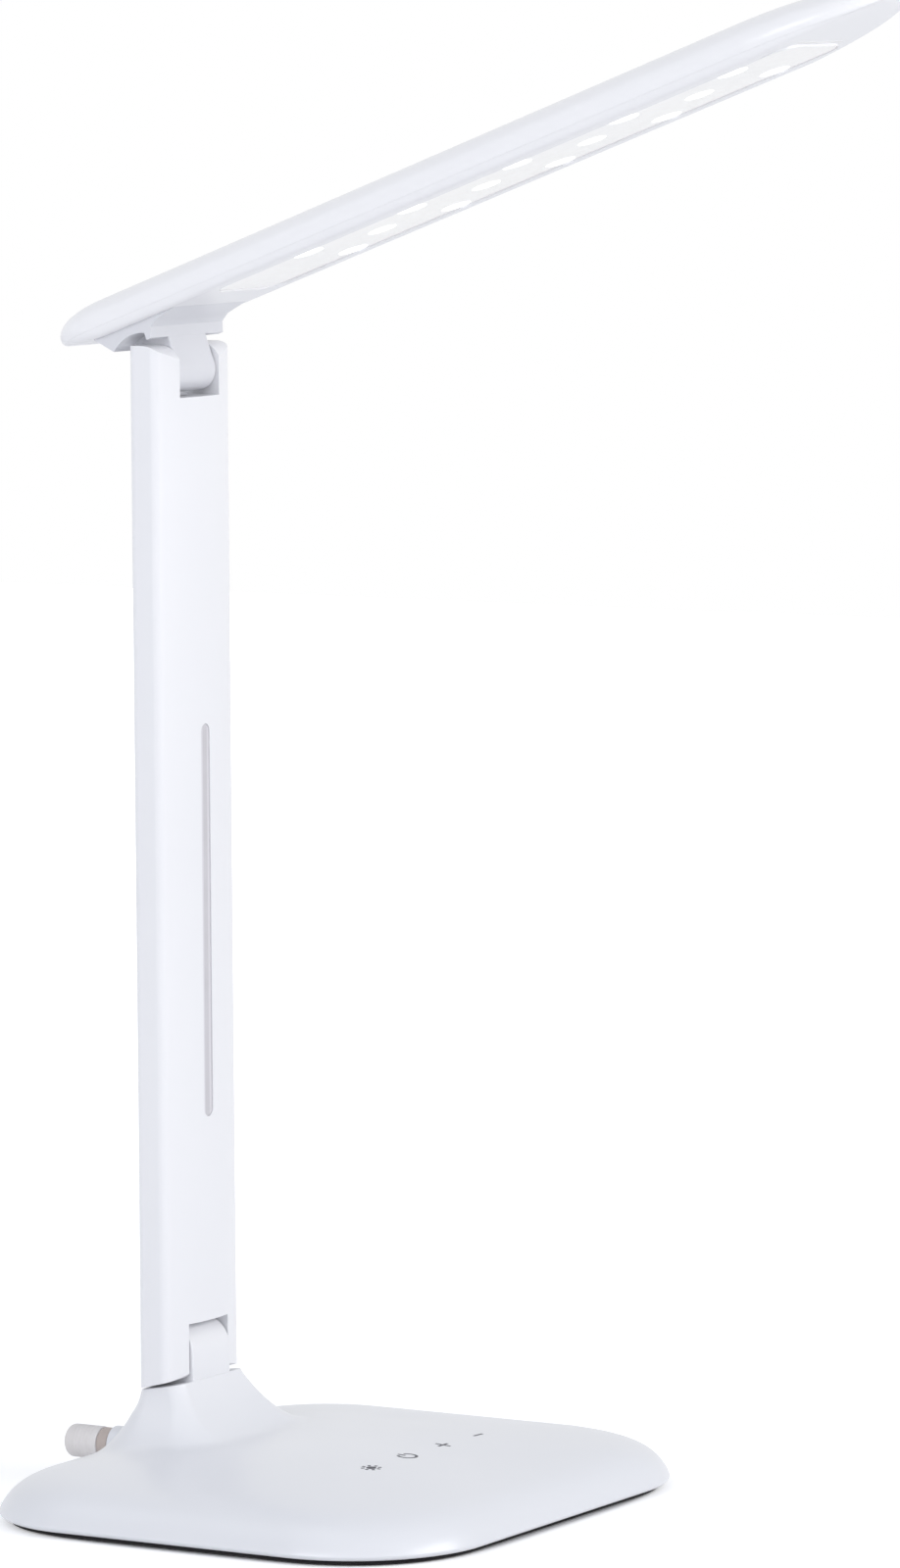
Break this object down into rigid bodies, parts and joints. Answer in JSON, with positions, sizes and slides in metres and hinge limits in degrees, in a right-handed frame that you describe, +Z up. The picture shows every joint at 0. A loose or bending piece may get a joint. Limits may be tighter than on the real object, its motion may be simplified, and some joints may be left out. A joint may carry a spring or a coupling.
{
  "type": "folding desk lamp",
  "caption": "Folding desk lamp with a weighted domed base, a flat upright arm and a slim pebble-shaped light head on friction hinges.",
  "frame": {"origin": "the middle of the base on the desk, in the plane of the four foot pads", "axes": "+Z up along the upright arm, -Y towards the user and the tip of the head, +X to the right of a user facing the lamp"},
  "size_m": [0.2, 0.3102, 0.4907],
  "materials": {
    "shell_white": "glossy moulded plastic",
    "plate_black": "fine matte grain",
    "pad_rubber": "matte",
    "weight_iron": "rough cast",
    "screw_steel": "zinc plated",
    "bracket_steel": "pressed sheet",
    "pin_steel": "polished",
    "bush_brass": "turned",
    "board_green": "solder resist",
    "board_white": "white solder resist",
    "board_black": "moulded parts",
    "ring_dark": "satin",
    "gland_taupe": "satin",
    "lead_black": "matte sheath",
    "inlay_grey": "satin",
    "panel_diffuser": "frosted diffuser",
    "tray_aluminium": "rolled sheet",
    "light_cool": "lit",
    "light_warm": "lit"
  },
  "bodies": {
    "base": {"base_shell": "shell_white", "base_plate": "plate_black", "foot_pads": "pad_rubber", "counterweight": "weight_iron", "base_screws": "screw_steel", "touch_board": "board_green", "board_screws": "screw_steel", "board_parts": "board_black", "touch_springs": "screw_steel", "gland_ring": "ring_dark", "cord_gland": "gland_taupe", "base_lead": "lead_black", "lower_bushes": "bush_brass"},
    "arm": {"lower_hinge_bracket": "bracket_steel", "lower_hinge_pins": "pin_steel", "lower_washers": "pin_steel", "arm_front_shell": "shell_white", "arm_rear_shell": "shell_white", "arm_inlay": "inlay_grey", "arm_screws": "screw_steel", "arm_lead": "lead_black", "upper_hinge_bracket": "bracket_steel", "upper_hinge_pins": "pin_steel", "upper_washers": "pin_steel"},
    "head": {"upper_bushes": "bush_brass", "head_knuckle": "shell_white", "knuckle_screws": "screw_steel", "head_shell": "shell_white", "head_rim": "shell_white", "rim_screws": "screw_steel", "light_panel": "panel_diffuser", "light_spreader": "tray_aluminium", "led_board": "board_white", "cool_leds": "light_cool", "warm_leds": "light_warm", "head_lead": "lead_black"}
  },
  "joints": [
    {"name": "arm_fold", "type": "hinge", "parent": "base", "child": "arm", "pos_m": [0, 0.0583, 0.0463], "axis": [1, 0, 0], "range_deg": [0, 84]},
    {"name": "head_tilt", "type": "hinge", "parent": "arm", "child": "head", "pos_m": [0, 0.0583, 0.3673], "axis": [1, 0, 0], "range_deg": [-40, 110.44]}
  ]
}
